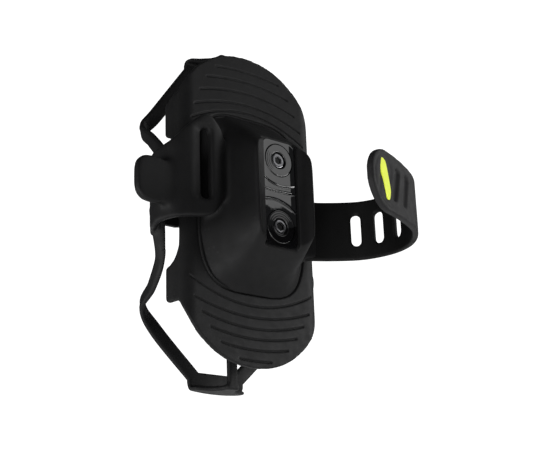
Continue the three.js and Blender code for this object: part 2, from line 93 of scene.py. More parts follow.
# ---- number helpers ----------------------------------------------------------------------------
def smooth(low, high, x):
    t = np.clip((np.asarray(x, float) - low) / (high - low), 0, 1)
    return t * t * (3 - 2 * t)


def bump(x, middle, width):
    return np.exp(-(((x - middle) / width) ** 2))


def catmull(points, per=30):
    """A smooth line through points, as a dense array of points."""
    p = np.asarray(points, float)
    q = np.vstack([p[:1], p, p[-1:]])
    t = np.linspace(0, 1, per, endpoint=False)[:, None]
    out = []
    for a, b, c, d in zip(q, q[1:], q[2:], q[3:]):
        out.append(0.5 * (2 * b + (c - a) * t + (2 * a - 5 * b + 4 * c - d) * t**2
                          + (3 * b - a - 3 * c + d) * t**3))
    return np.vstack([*out, p[-1:]])


class Track:
    """A line in the XY plane along which a flat sheet (s, z, depth) is bent."""

    def __init__(self, points):
        self.p = catmull(points)
        steps = np.linalg.norm(np.diff(self.p, axis=0), axis=1)
        self.s = np.concatenate([[0], np.cumsum(steps)])
        self.length = self.s[-1]
        t = np.gradient(self.p, self.s, axis=0)
        self.t = t / np.linalg.norm(t, axis=1)[:, None]

    def at(self, s):
        inside = np.clip(s, 0, self.length)
        p = np.column_stack([np.interp(inside, self.s, self.p[:, k]) for k in (0, 1)])
        t = np.column_stack([np.interp(inside, self.s, self.t[:, k]) for k in (0, 1)])
        t /= np.linalg.norm(t, axis=1)[:, None]
        return p + t * (s - inside)[:, None], np.column_stack([-t[:, 1], t[:, 0]])

    def bend(self, v):
        p, n = self.at(v[:, 0])
        q = p + n * v[:, 2:3]
        return np.column_stack([q[:, 0], q[:, 1], v[:, 1]])


def round_corners(points, radius, steps=7):
    """A closed outline with each corner replaced by a short curve."""
    p = np.asarray(points, float)
    out = []
    for before, here, after in zip(np.roll(p, 1, 0), p, np.roll(p, -1, 0)):
        a, b = before - here, after - here
        la, lb = np.linalg.norm(a), np.linalg.norm(b)
        cut = min(radius, la / 2, lb / 2)
        start, end = here + a / la * cut, here + b / lb * cut
        for t in np.linspace(0, 1, steps):
            out.append((1 - t) ** 2 * start + 2 * t * (1 - t) * here + t**2 * end)
    return np.array(out)


def rectangle(x, z, half_x, half_z, radius):
    corners = [(x - half_x, z - half_z), (x + half_x, z - half_z),
               (x + half_x, z + half_z), (x - half_x, z + half_z)]
    return round_corners(corners, radius)


def stadium(x, z, half_x, half_z, slant=0.0, steps=14):
    """A slot outline with round ends, its long side along z."""
    turn = np.linspace(0, math.pi, steps)
    top = np.column_stack([half_x * np.cos(turn), half_z - half_x + half_x * np.sin(turn)])
    loop = np.vstack([top, -top])
    c, s = math.cos(slant), math.sin(slant)
    return np.column_stack([x + loop[:, 0] * c - loop[:, 1] * s, z + loop[:, 0] * s + loop[:, 1] * c])


def ring(half_x, half_z, power, count):
    """Evenly spaced points round a superellipse."""
    a = np.linspace(0, 2 * math.pi, 4000)
    c, s = np.cos(a), np.sin(a)
    x = np.sign(c) * np.abs(c) ** (2 / power) * half_x
    z = np.sign(s) * np.abs(s) ** (2 / power) * half_z
    d = np.concatenate([[0], np.cumsum(np.hypot(np.diff(x), np.diff(z)))])
    at = np.linspace(0, d[-1], count, endpoint=False)
    return np.column_stack([np.interp(at, d, x), np.interp(at, d, z)])


# ---- mesh helpers: everything below works in millimetres until finish_piece ---------------------
def mesh_of(verts, faces):
    mesh = bpy.data.meshes.new("m")
    mesh.from_pydata(np.asarray(verts, float).tolist(), [], [tuple(int(i) for i in f) for f in faces])
    mesh.update()
    return mesh


def recalculated(mesh, weld=None):
    """The mesh with its faces turned to agree, and with points closer than weld joined."""
    b = bmesh.new()
    b.from_mesh(mesh)
    if weld is not None:
        bmesh.ops.remove_doubles(b, verts=b.verts, dist=weld)
    bmesh.ops.recalc_face_normals(b, faces=b.faces)
    b.to_mesh(mesh)
    b.free()
    return mesh


def tube_faces(rings, count, first_reversed=True):
    """The faces of a closed tube of rings with count points each, with a cap at both ends."""
    faces = [(i * count + j, i * count + (j + 1) % count,
              (i + 1) * count + (j + 1) % count, (i + 1) * count + j)
             for i in range(rings - 1) for j in range(count)]
    first = tuple(range(count))
    last = tuple((rings - 1) * count + j for j in range(count))
    return faces + [first[::-1] if first_reversed else first, last]


def get(mesh):
    v = np.zeros(len(mesh.vertices) * 3)
    mesh.vertices.foreach_get("co", v)
    return v.reshape(-1, 3)


def put(mesh, v):
    mesh.vertices.foreach_set("co", np.asarray(v, np.float32).ravel())
    mesh.update()
    return mesh


def with_modifier(mesh, kind, **settings):
    obj = bpy.data.objects.new("t", mesh)
    bpy.context.scene.collection.objects.link(obj)
    modifier = obj.modifiers.new("t", kind)
    for key, value in settings.items():
        setattr(modifier, key, value)
    graph = bpy.context.evaluated_depsgraph_get()
    made = bpy.data.meshes.new_from_object(obj.evaluated_get(graph))
    bpy.data.objects.remove(obj)
    return made


def remesh(mesh, voxel):
    return with_modifier(mesh, "REMESH", mode="VOXEL", voxel_size=voxel)


def carve(mesh, tool):
    cutter = bpy.data.objects.new("c", tool)
    bpy.context.scene.collection.objects.link(cutter)
    made = with_modifier(mesh, "BOOLEAN", operation="DIFFERENCE", solver="EXACT", object=cutter)
    bpy.data.objects.remove(cutter)
    return made


def merged(*meshes):
    b = bmesh.new()
    for mesh in meshes:
        b.from_mesh(mesh)
    mesh = bpy.data.meshes.new("m")
    b.to_mesh(mesh)
    b.free()
    return mesh


def flipped_x(mesh):
    mesh = mesh.copy()
    mesh.transform(Matrix.Diagonal((-1, 1, 1, 1)))
    mesh.flip_normals()
    return mesh


def slab(outline, low, high, voxel, holes=()):
    """A flat sheet in (a, b, depth), cut to an outline with holes and meshed evenly."""
    curve = bpy.data.curves.new("c", "CURVE")
    curve.dimensions, curve.fill_mode, curve.extrude = "2D", "BOTH", (high - low) / 2
    for loop in (outline, *holes):
        spline = curve.splines.new("POLY")
        spline.points.add(len(loop) - 1)
        rows = np.column_stack([loop, np.zeros(len(loop)), np.ones(len(loop))])
        spline.points.foreach_set("co", rows.ravel())
        spline.use_cyclic_u = True
    obj = bpy.data.objects.new("c", curve)
    bpy.context.scene.collection.objects.link(obj)
    graph = bpy.context.evaluated_depsgraph_get()
    mesh = bpy.data.meshes.new_from_object(obj.evaluated_get(graph))
    bpy.data.objects.remove(obj)
    mesh.transform(Matrix.Translation((0, 0, (low + high) / 2)))
    return remesh(recalculated(mesh, weld=1e-4), voxel)


def relax(mesh, rounds, weight=None):
    """Smooths a mesh. weight(v) says how much each point takes part."""
    v = get(mesh)
    e = np.zeros(len(mesh.edges) * 2, int)
    mesh.edges.foreach_get("vertices", e)
    a, b = np.concatenate([e[0::2], e[1::2]]), np.concatenate([e[1::2], e[0::2]])
    n = len(v)
    degree = np.maximum(np.bincount(a, minlength=n), 1)
    share = np.full(n, 0.5) if weight is None else 0.5 * weight(v)
    for _ in range(rounds):
        mean = np.column_stack([np.bincount(a, v[b, k], n) for k in range(3)]) / degree[:, None]
        v = v + share[:, None] * (mean - v)
    return put(mesh, v)


def drop_specks(mesh, most=50):
    """Removes the specks a remesh leaves. Stops if anything larger isn't joined to the rest."""
    ends = np.zeros(len(mesh.edges) * 2, int)
    mesh.edges.foreach_get("vertices", ends)
    a, b = ends[0::2], ends[1::2]
    label = np.arange(len(mesh.vertices))
    while True:
        new = label.copy()
        np.minimum.at(new, a, label[b])
        np.minimum.at(new, b, label[a])
        new = new[new]
        if (new == label).all():
            break
        label = new
    roots, sizes = np.unique(label, return_counts=True)
    if np.sum(sizes > most) != 1:
        raise RuntimeError(f"a part of the mesh is loose: {sorted(sizes.tolist())}")
    speck = label != roots[np.argmax(sizes)]
    m = bmesh.new()
    m.from_mesh(mesh)
    m.verts.ensure_lookup_table()
    bmesh.ops.delete(m, geom=[m.verts[i] for i in np.flatnonzero(speck)], context="VERTS")
    m.to_mesh(mesh)
    m.free()
    return mesh


def refine(mesh, where):
    """Splits the edges of every face whose middle satisfies where(points)."""
    b = bmesh.new()
    b.from_mesh(mesh)
    middles = np.array([f.calc_center_median() for f in b.faces])
    chosen = where(middles)
    edges = {e for f, yes in zip(b.faces, chosen) if yes for e in f.edges}
    bmesh.ops.subdivide_edges(b, edges=list(edges), cuts=1, use_grid_fill=True)
    b.to_mesh(mesh)
    b.free()
    return mesh


def part_of(mesh, *cuts):
    """The part of a mesh in front of each cut (point, direction), closed with a flat cap."""
    b = bmesh.new()
    b.from_mesh(mesh)
    for point, direction in cuts:
        geometry = b.verts[:] + b.edges[:] + b.faces[:]
        made = bmesh.ops.bisect_plane(b, geom=geometry, dist=1e-5, plane_co=point,
                                      plane_no=direction, clear_inner=True)
        rim = [g for g in made["geom_cut"] if isinstance(g, bmesh.types.BMEdge) and g.is_boundary]
        if rim:
            caps = bmesh.ops.holes_fill(b, edges=rim, sides=0)["faces"]
            for face in caps:
                face.smooth = False
                for edge in face.edges:
                    edge.smooth = False
    made = bpy.data.meshes.new("m")
    b.to_mesh(made)
    b.free()
    return made


def sweep(path, facing, width, thick, profile, count=40):
    """A strap along a 3-D path. facing gives its outward direction, width and thick its size."""
    n = len(path)
    tangent = np.gradient(path, axis=0)
    tangent /= np.linalg.norm(tangent, axis=1)[:, None]
    out = facing - tangent * np.sum(facing * tangent, axis=1)[:, None]
    out /= np.linalg.norm(out, axis=1)[:, None]
    across = np.cross(out, tangent)
    a = np.linspace(0, 2 * math.pi, count, endpoint=False)
    px = np.sign(np.cos(a)) * np.abs(np.cos(a)) ** (2 / 4.2)
    py = profile(px, np.sign(np.sin(a)) * np.abs(np.sin(a)) ** (2 / 2.6))
    w, t = np.broadcast_to(width, n) / 2, np.broadcast_to(thick, n) / 2
    verts = (path[:, None] + across[:, None] * (w[:, None] * px)[..., None]
             + out[:, None] * (t[:, None] * py)[..., None]).reshape(-1, 3)
    return recalculated(mesh_of(verts, tube_faces(n, count)))


def lathe(profile, z, count=120, radius_at=None):
    """A piece turned about an axis along Y at height z. profile lists (radius, y) from one end."""
    a = np.linspace(0, 2 * math.pi, count, endpoint=False)
    rows = []
    for r, y in profile:
        radii = np.full(count, r) if radius_at is None else radius_at(r, a)
        rows.append(np.column_stack([radii * np.cos(a), np.full(count, y), z + radii * np.sin(a)]))
    return recalculated(mesh_of(np.vstack(rows), tube_faces(len(profile), count)))


def face_outward(mesh):
    """Bending a flat sheet can mirror it, which turns it inside out. This turns it back."""
    b = bmesh.new()
    b.from_mesh(mesh)
    inside_out = b.calc_volume(signed=True) < 0
    b.free()
    if inside_out:
        mesh.flip_normals()


def finish_piece(name, mesh, look, slot, *nodes, body=None, blend=None, sharp=None):
    """Turns a mesh in millimetres into a named piece of the object."""
    face_outward(mesh)
    mesh.transform(Matrix.Scale(MM, 4))
    mesh.name = name
    flat = {p.index for p in mesh.polygons if len(p.vertices) > 12}
    for polygon in mesh.polygons:
        polygon.use_smooth = polygon.index not in flat
    if sharp is not None:
        mesh.set_sharp_from_angle(angle=math.radians(sharp))
    mesh.materials.clear()
    mesh.materials.append(look)
    obj = bpy.data.objects.new(name, mesh)
    bpy.context.scene.collection.objects.link(obj)
    if nodes:
        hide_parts(*nodes)
    if blend is None:
        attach(obj, body or "mount_body")
    else:
        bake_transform(obj)
    return obj


# ---- materials ---------------------------------------------------------------------------------
class Look:
    """A node material on the Principled shader."""

    def __init__(self, name, **sockets):
        self.material = bpy.data.materials.new(name)
        self.material.use_nodes = True
        self.tree = self.material.node_tree
        self.shader = self.tree.nodes["Principled BSDF"]
        self.coordinates = self.node("ShaderNodeTexCoord").outputs["Object"]
        for socket, value in sockets.items():
            self.shader.inputs[socket.replace("_", " ")].default_value = value

    def node(self, kind, **settings):
        made = self.tree.nodes.new(kind)
        for key, value in settings.items():
            setattr(made, key, value)
        return made

    def link(self, out, into):
        self.tree.links.new(out, into)

    def noise(self, scale, detail=3.0, roughness=0.55, stretch=None):
        n = self.node("ShaderNodeTexNoise")
        n.inputs["Scale"].default_value = scale
        n.inputs["Detail"].default_value = detail
        n.inputs["Roughness"].default_value = roughness
        source = self.coordinates
        if stretch is not None:
            mapping = self.node("ShaderNodeMapping")
            mapping.inputs["Scale"].default_value = stretch
            self.link(source, mapping.inputs["Vector"])
            source = mapping.outputs["Vector"]
        self.link(source, n.inputs["Vector"])
        return n.outputs["Fac"]

    def ramp(self, fac, *stops):
        r = self.node("ShaderNodeValToRGB")
        while len(r.color_ramp.elements) < len(stops):
            r.color_ramp.elements.new(0.5)
        for element, (at, value) in zip(r.color_ramp.elements, stops):
            element.position = at
            element.color = (*value, 1) if isinstance(value, tuple) else (value, value, value, 1)
        self.link(fac, r.inputs["Fac"])
        return r.outputs["Color"]

    def mix(self, kind, a, b, amount):
        m = self.node("ShaderNodeMix", data_type="RGBA", blend_type=kind)
        for socket, value in (("A", a), ("B", b)):
            target = [i for i in m.inputs if i.name == socket and i.type == "RGBA"][0]
            if isinstance(value, tuple):
                target.default_value = (*value, 1)
            else:
                self.link(value, target)
        if isinstance(amount, (int, float)):
            m.inputs["Factor"].default_value = amount
        else:
            self.link(amount, m.inputs["Factor"])
        return [o for o in m.outputs if o.type == "RGBA"][0]

    def spread(self, fac, low, high):
        m = self.node("ShaderNodeMapRange")
        m.inputs["From Min"].default_value = 0.25
        m.inputs["From Max"].default_value = 0.75
        m.inputs["To Min"].default_value = low
        m.inputs["To Max"].default_value = high
        self.link(fac, m.inputs["Value"])
        return m.outputs["Result"]

    def bumps(self, *layers):
        """Layers of (height, strength, distance in metres), from the coarsest to the finest."""
        normal = None
        for height, strength, distance in layers:
            b = self.node("ShaderNodeBump")
            b.inputs["Strength"].default_value = strength
            b.inputs["Distance"].default_value = distance
            self.link(height, b.inputs["Height"])
            if normal is not None:
                self.link(normal, b.inputs["Normal"])
            normal = b.outputs["Normal"]
        self.link(normal, self.shader.inputs["Normal"])


def silicone(name, tone, worn, rough, tab_painted_light=None, **sockets):
    """Moulded silicone: a fine spark-eroded grain, faint handling marks, paler rubbed edges, painted
    shade in recesses and creases, dust.
    The optional paler tone is painted light: it takes over where the mesh's own value of the same name is
    1."""
    look = Look(name, **sockets)
    cloud = look.noise(70, 4)
    grain = look.noise(2600, 3, 0.6)
    fine = look.noise(7500, 2)
    dark = tuple(c * 0.82 for c in tone)
    light = tuple(c * 1.2 for c in tone)
    colour = look.mix("MIX", dark, light, look.ramp(cloud, (0.3, 0.0), (0.7, 1.0)))
    colour = look.mix("OVERLAY", colour, look.ramp(grain, (0.3, 0.38), (0.7, 0.62)), 0.55)
    # painted light: a paler tone blended in where the mesh's own value says so, on the strap's tab end
    if tab_painted_light is not None:
        share = look.node("ShaderNodeAttribute", attribute_name="tab_painted_light").outputs["Fac"]
        duller = tuple(c * 0.85 for c in tab_painted_light)
        paler = look.mix("MIX", tab_painted_light, duller, look.ramp(cloud, (0.3, 0.0), (0.7, 1.0)))
        colour = look.mix("MIX", colour, paler, share)
    edge = look.node("ShaderNodeNewGeometry").outputs["Pointiness"]
    colour = look.mix("MIX", colour, worn, look.ramp(edge, (0.51, 0.0), (0.6, 0.55)))
    # painted shade: where the pointiness is low, in recesses and creases, the colour darkens towards 0.3
    # of the tone
    recess = look.ramp(edge, (0.41, 0.0), (0.492, 1.0))
    colour = look.mix("MIX", tuple(c * 0.3 for c in tone), colour, recess)
    dust = look.ramp(look.noise(1900, 5, 0.75), (0.72, 0.0), (0.8, 0.2))
    colour = look.mix("MIX", colour, tuple(c * 1.7 for c in worn), dust)
    look.link(colour, look.shader.inputs["Base Color"])
    roughness = look.spread(look.noise(260, 4), rough - 0.07, rough + 0.09)
    look.link(roughness, look.shader.inputs["Roughness"])
    look.bumps((cloud, 0.15, 0.0004), (grain, 0.22, 0.00006), (fine, 0.2, 0.00003))
    return look.material


def gloss(name, tone, rough, **sockets):
    """Polished hard plastic with faint haze and fine wiping marks."""
    look = Look(name, **sockets)
    haze = look.noise(90, 4)
    wipes = look.noise(900, 3, 0.6, stretch=(1, 1, 0.12))
    hazed = tuple(c * 2.4 + 0.002 for c in tone)
    colour = look.mix("MIX", tone, hazed, look.ramp(haze, (0.4, 0.0), (0.8, 0.5)))
    look.link(colour, look.shader.inputs["Base Color"])
    look.link(look.spread(wipes, rough * 0.7, rough * 1.6), look.shader.inputs["Roughness"])
    look.bumps((haze, 0.05, 0.0003), (wipes, 0.05, 0.00002))
    return look.material


def metal(name, tone, rough, scale, socket=False):
    """Turned metal with fine rings from the tool, darker stains and, if asked, painted shade that
    blackens the socket.
    """
    look = Look(name, Metallic=1.0)
    rings = look.noise(scale, 3, 0.6, stretch=(1, 6, 1))
    stain = look.noise(300, 4)
    stained = tuple(c * 0.6 for c in tone)
    colour = look.mix("MIX", stained, tone, look.ramp(stain, (0.3, 0.0), (0.65, 1.0)))
    if socket:  # painted shade: black below the head's face, inside the socket
        parts = look.node("ShaderNodeSeparateXYZ")
        look.link(look.coordinates, parts.inputs["Vector"])
        depth = look.node("ShaderNodeMapRange")
        depth.inputs["From Min"].default_value = SCREW_FACE * MM
        depth.inputs["From Max"].default_value = SCREW_SHADE_FULL * MM
        look.link(parts.outputs["Y"], depth.inputs["Value"])
        colour = look.mix("MIX", colour, (0.001, 0.001, 0.001), depth.outputs["Result"])
    look.link(colour, look.shader.inputs["Base Color"])
    look.link(look.spread(rings, rough - 0.08, rough + 0.12), look.shader.inputs["Roughness"])
    look.bumps((rings, 0.25, 0.00002))
    return look.material


BLACK = silicone("moulded_black_silicone", (0.0066, 0.0066, 0.0069), (0.0145, 0.0145, 0.015), 0.52,
                 Specular_IOR_Level=0.2)
# the strap's tab end gets a paler tone, painted in as light
STRAP = silicone("strap_silicone", (0.005, 0.005, 0.005), (0.012, 0.0119, 0.0118), 0.54,
                 tab_painted_light=(0.021, 0.0208, 0.0215), Specular_IOR_Level=0.13)
# painted light: the inlay glows (emission) so that it looks brighter than its colour alone
GLOWING_ACCENT = silicone("accent_silicone", (0.74, 0.84, 0.04), (0.82, 0.9, 0.10), 0.42,
                  Specular_IOR_Level=0.4, Emission_Color=(0.74, 0.86, 0.05, 1), Emission_Strength=0.28)
INSERT = gloss("polished_insert", (0.003, 0.003, 0.0034), 0.02, Specular_IOR_Level=1.0)
COLLAR = gloss("polished_collar", (0.003, 0.003, 0.0034), 0.02, Specular_IOR_Level=1.0)
SCREW = metal("blackened_screw", (0.22, 0.22, 0.23), 0.14, 4000, socket=True)
BRASS = metal("brass", (0.62, 0.42, 0.15), 0.32, 4000)
NYLON = silicone("core_nylon", (0.012, 0.012, 0.0125), (0.03, 0.03, 0.03), 0.5)


# ---- back pad and wings ------------------------------------------------------------------------
def pack_bend(v):
    """Bends (s, z, depth) round the power bank."""
    s = v[:, 0]
    past = np.maximum(0, np.abs(s) - PACK_FLAT) / (PACK_RADIUS + PAD_SKIN)
    reach = np.minimum(np.abs(s), PACK_FLAT)
    r = PACK_RADIUS + v[:, 2]
    return np.column_stack([np.sign(s) * (reach + r * np.sin(past)), PACK_Y + r * np.cos(past), v[:, 1]])


def pad_height(s):
    n = PAD_FULLNESS
    return PAD_HALF_HEIGHT * (1 - (np.abs(s) / PAD_HALF_WIDTH) ** n) ** (1 / n)


def wing_outline(level):
    """One wing's edge from the pad's rim round the tip to the waist."""
    waist, far = WINGS[level]
    side = LEVELS[level]
    rim = side * float(pad_height(PAD_RIM))
    radius = 2.8

    def corner(start, middle, end):
        start, middle, end = np.array(start), np.array(middle), np.array(end)
        return [(1 - t) ** 2 * start + 2 * t * (1 - t) * middle + t * t * end
                for t in np.linspace(0, 1, 8)]

    share = np.linspace(0.1, 1, 8)
    outer = [(37.2 + 6.2 * q, rim + (far - rim) * min(1, q * 1.6)) for q in share[:-3]]
    turn = corner((WING_TIP - radius, far), (WING_TIP, far), (WING_TIP, far - side * radius))
    under = corner((WING_TIP, waist + side * radius), (WING_TIP, waist), (WING_TIP - radius, waist))
    s = np.linspace(WING_TIP - radius - 0.3, PAD_EDGE, 18)
    left = np.clip(1 - (s - PAD_EDGE) / (WING_TIP - PAD_EDGE) / 0.8, 0, 1)
    fillet = [(x, waist - side * 12.0 * (1 - math.sqrt(1 - q * q))) for x, q in zip(s, left)]
    return outer + turn + under + fillet


PAD_GROOVE_DEPTH = 0.62
PAD_GROOVES = [  # middle z, half length, end z
    (-43.4, 31.5, -35.0), (-48.2, 29.5, -43.0), (-52.9, 26.0, -48.8), (-57.2, 22.0, -54.5),
    (-61.8, 17.0, -60.2), (-66.3, 8.0, -66.0), (42.4, 30.0, 34.0), (46.2, 28.5, 40.5),
    (51.8, 25.5, 47.8), (57.3, 22.0, 54.7), (62.2, 17.0, 60.8),
]


def groove_field(v):
    """How deep the pad's grooves are at each point, from 0 to 1."""
    s, z = v[:, 0], v[:, 1]
    deep = np.zeros(len(v))
    for middle, half, end in PAD_GROOVES:
        curve = (end - middle) / half**2
        away = (z - middle - curve * s**2) / np.sqrt(1 + (2 * curve * s) ** 2)
        past = np.maximum(0, np.abs(s) - half)
        deep = np.maximum(deep, np.exp(-((away**2 + past**2) / 0.34**2)))
    power = 3.7
    f = ((np.abs(s) / 27.9) ** power + (np.abs(z) / np.where(z > 0, 39.5, 38.6)) ** power) ** (1 / power)
    away = (f - 1) / np.maximum(f, 0.05) * np.hypot(s, z)
    return np.maximum(deep, 1.2 * np.exp(-((away / 0.42) ** 2)))


def build_pad():
    s = np.linspace(0, PAD_RIM, 60)
    right = [*zip(s, pad_height(s)), *wing_outline("upper")]
    right += [*wing_outline("lower")][::-1] + [*zip(s[::-1], -pad_height(s[::-1]))]
    right = np.array([tuple(p) for p in right])
    left = right[::-1] * [-1, 1]
    mesh = slab(np.vstack([right, left[1:-1]]), 0, PAD_SKIN, 0.5)
    relax(mesh, 5)
    refine(mesh, lambda m: (groove_field(m) > 0.002) & (m[:, 2] > 1.6))
    v = get(mesh)
    v[:, 2] -= PAD_GROOVE_DEPTH * groove_field(v) * smooth(1.2, 1.9, v[:, 2])
    put(mesh, v)
    middle = part_of(mesh, ((WING_SEAM, 0, 0), (-1, 0, 0)), ((-WING_SEAM, 0, 0), (1, 0, 0)))
    put(middle, pack_bend(get(middle)))
    finish_piece("back_pad_grooved", middle, BLACK, "silicone", "back_pad")
    for side_name, side in SIDES.items():
        for level, up in LEVELS.items():
            wing = part_of(mesh, ((side * WING_SEAM, 0, 0), (side, 0, 0)), ((0, 0, 0), (0, up, 0)))
            put(wing, pack_bend(get(wing)))
            z = 34.0 * up
            ends = pack_bend(np.array([[side * 36.2, z, 1.0], [side * 40.0, z, 1.0]]))
            name = f"wing_{level}_{side_name}"
            finish_piece(f"{name}_sheet", wing, BLACK, "silicone", name,
                         blend=("mount_body", name, ends[0], ends[1]))


# ---- the one-piece moulding: hub, buckle, arms, legs, cradle and feet ---------------------------
def hub():
    rows, count = [], 260
    for y, half_x, half_z, power in catmull(HUB_SECTIONS, 9):
        loop = ring(half_x, half_z, power, count)
        rows.append(np.column_stack([loop[:, 0], np.full(count, y), loop[:, 1]]))
    faces = tube_faces(len(rows), count, first_reversed=False)
    mesh = recalculated(mesh_of(np.vstack(rows), faces))
    x = np.linspace(-8.75, 8.75, 120)
    floor_line = np.column_stack([x, saddle_y(x) - INSERT_DEPTH])
    wall = np.array(SADDLE_WALL)
    recess = prism_z(np.vstack([floor_line, wall, wall[::-1] * [-1, 1]]), -60, 60)
    return carve(mesh, recess)


def saddle_y(x):
    """The saddle's face: a flat strip down the middle that curls up on both sides."""
    return -20.05 + 0.014 * np.maximum(0, np.abs(x) - 4.7) ** 2.2


def prism_z(outline, low, high):
    """A solid that follows an XY outline from one height to another."""
    n = len(outline)
    verts = np.vstack([np.column_stack([outline, np.full(n, z)]) for z in (low, high)])
    faces = [(i, (i + 1) % n, n + (i + 1) % n, n + i) for i in range(n)]
    faces += [tuple(range(n))[::-1], tuple(range(n, 2 * n))]
    return recalculated(mesh_of(verts, faces))


BUCKLE_TRACK = Track([(14, -34.4), (18, -32.6), (22, -30.5), (26.5, -29.1), (34, -29.3), (39.8, -30.9),
                      (44.2, -33.8), (46.9, -39.2), (45, -45.6), (41.4, -50.6), (38.9, -55.2)])
BUCKLE_CORNER = (44.65, -34.35)  # x, y near where the plate turns into the arm
BUCKLE_SLOT_X, BUCKLE_SLOT_Z = 30.9, 9.2


def buckle_sheet():
    """The buckle plate and the arm it turns into, bent along one line."""
    track = BUCKLE_TRACK
    corner = np.argmin(np.abs(track.p - BUCKLE_CORNER).sum(axis=1))
    before = track.s < track.s[corner]
    turn = float(track.s[before][-1])

    def at_x(x):
        return float(np.interp(x, track.p[before][:, 0], track.s[before]))

    def along(share):
        return turn + share * (track.length - turn)

    upper = [(at_x(x), z) for x, z in ((14.1, 12), (20.4, 22.5), (24, 28), (30, 30.8), (35, 28.2),
                                       (39.5, 23.8), (44.2, 17.8))]
    upper += [(along(q), z) for q, z in ((0.3, 14.6), (0.7, 13.6), (1, 13))]
    lower = [(at_x(x), z) for x, z in ((14.1, 3), (20.6, -3), (25.4, -10), (32, -13.4), (43.5, -14.8))]
    lower += [(along(q), z) for q, z in ((0.35, -16.4), (0.7, -16.6), (1, -16))]
    outline = np.vstack([catmull(upper, 12), catmull(lower, 12)[::-1]])
    slot = rectangle(at_x(BUCKLE_SLOT_X), BUCKLE_SLOT_Z, 1.95, 15.2, 1.85)
    mesh = slab(outline, -1.7, 1.7, 0.5, holes=[slot])
    relax(mesh, 8)
    v = get(mesh)
    s, z = v[:, 0], v[:, 1]
    v[:, 2] *= 1 - 0.24 * smooth(turn - 2, turn + 6, s)
    from_slot = np.abs(z - BUCKLE_SLOT_Z)
    beside = bump(s, at_x(33.0), 3.1) * (1 - smooth(13, 17.5, from_slot))
    rail = bump(s, at_x(26.2), 2.4) * (1 - smooth(13, 20, from_slot))
    outer = smooth(-0.6, 1.5, v[:, 2])
    v[:, 2] += outer * (0.3 * rail - 1.7 * beside)
    put(mesh, v)
    return put(mesh, track.bend(get(mesh)))


def tongue_slab():
    reach, half = 61.2, 9.5
    outline = [(38.5, -half), (reach - 3.6, -half), (reach - 0.3, -half + 3.2), (reach, 0),
               (reach - 0.3, half - 3.2), (reach - 3.6, half), (38.5, half)]
    mesh = slab(round_corners(outline, 3.2), -1.75, 1.75, 0.5)
    relax(mesh, 9)
    v = get(mesh)
    crown = 0.25 * (1 - (v[:, 1] / half) ** 2) - 0.25
    return put(mesh, np.column_stack([v[:, 0], -33.4 + v[:, 2] + crown * smooth(0, 1.5, v[:, 2]),
                                      v[:, 1] - 0.8]))


def hull(*points):
    b = bmesh.new()
    for p in points:
        b.verts.new(p)
    bmesh.ops.convex_hull(b, input=b.verts)
    loose = [v for v in b.verts if not v.link_faces]
    bmesh.ops.delete(b, geom=loose, context="VERTS")
    mesh = bpy.data.meshes.new("hull")
    b.to_mesh(mesh)
    b.free()
    return mesh


def fillers():
    """Soft swellings where the buckle grows out of the hub and the tongue out of the buckle."""
    shoulder = hull((25.3, -31, -6), (25.3, -31, 26), (15, -33, -8), (15, -33, 30), (26.4, -38.9, -12),
                    (26.4, -38.9, 32), (20, -38.9, 36.5), (14, -38.9, 36.5), (14, -38.9, -12))
    root = hull(*[(x, y, z * half - 0.8) for z in (-1, 1)
                  for x, y, half in ((41, -33, 9), (49.5, -34.4, 8.6), (46.6, -38.6, 7), (42, -37, 8))])
    return [shoulder, root]


def strap_side_sheet():
    """The arm on the strap side, which grows out of the pad's waist."""
    on_pad = [pack_bend(np.array([[s, 0, depth]]))[0][:2]
              for s, depth in ((31, 0.7), (34, 0.9), (37, 1.2), (41, 1.6), (43.6, 1.7))]
    track = Track([*on_pad, (38.9, -50.6), (38.9, -55.4)])
    n = track.length
    outline = [(0, -17.5), (8, -16.2), (n, -16), (n, 13), (8, 13.4), (0, 14.5)]
    mesh = slab(round_corners(outline, 1.5), -1.1, 1.1, 0.5)
    relax(mesh, 5)
    return put(mesh, track.bend(get(mesh)))


BAND_POINTS = {
    "upper": [(40.4, -50.4, 2), (39.8, -49.9, 11.5), (38.4, -49.6, 18.5), (38.2, -56.9, 27.2),
              (36.7, -66.25, 35.6), (29.2, -67.45, 45.1), (12.5, -67.45, 68.5), (9.4, -67.45, 72.6)],
    "lower": [(42.4, -47.4, -6), (41.0, -47.3, -18.5), (39.2, -49.6, -27.4), (38.2, -56.9, -36.2),
              (36.7, -66.25, -42.2), (29.2, -67.45, -51.7), (12.5, -67.45, -67.5), (9.2, -67.45, -70.6)],
}
BAND_FACING = [(1, 0.25, 0), (1, 0.15, 0), (1, 0.02, 0), (1, -0.1, 0), (0.7, -0.7, 0), (0, -1, 0),
               (0, -1, 0), (0, -1, 0)]
BAND_SEAMS = {"near": 2.0, "middle": 4.45}  # in points along the band
# the strap side's arm hugs the power bank, so its lower leg starts further in
STRAP_SIDE_LOWER_ROOT = [(38.7, -50.9, -6), (38.8, -50.1, -18.5)]


def band_points(level, side):
    """The band's points, with x measured outward from the middle."""
    points = BAND_POINTS[level]
    if side < 0 and level == "lower":
        points = STRAP_SIDE_LOWER_ROOT + points[len(STRAP_SIDE_LOWER_ROOT):]
    return points


def band_line(level, side, low, high, per=26):
    """The band's path and outward directions between two places along its points."""
    path, facing = catmull(band_points(level, side), per), catmull(BAND_FACING, per)
    rows = slice(int(low * per), int(high * per) + 1)
    return path[rows], facing[rows], np.linspace(low, high, len(path[rows]))


def ridged(px, py):
    """A strap's cross-section with a raised line along one side and a softer far edge."""
    return py + np.where(py > 0, 0.2 * bump(px, -0.45, 0.22) - 0.12 * smooth(0.3, 1, px), 0)


def leg(level, side):
    path, facing, at = band_line(level, side, 0, BAND_SEAMS["near"] + 0.06)
    width = 6.4 + (6.2 if level == "upper" else 1.0) * (1 - smooth(0.2, 1.5, at))
    mesh = sweep(path, facing, width, 2.3 + 0.5 * (1 - smooth(0.6, 1.8, at)), profile=ridged)
    return mesh if side > 0 else flipped_x(mesh)


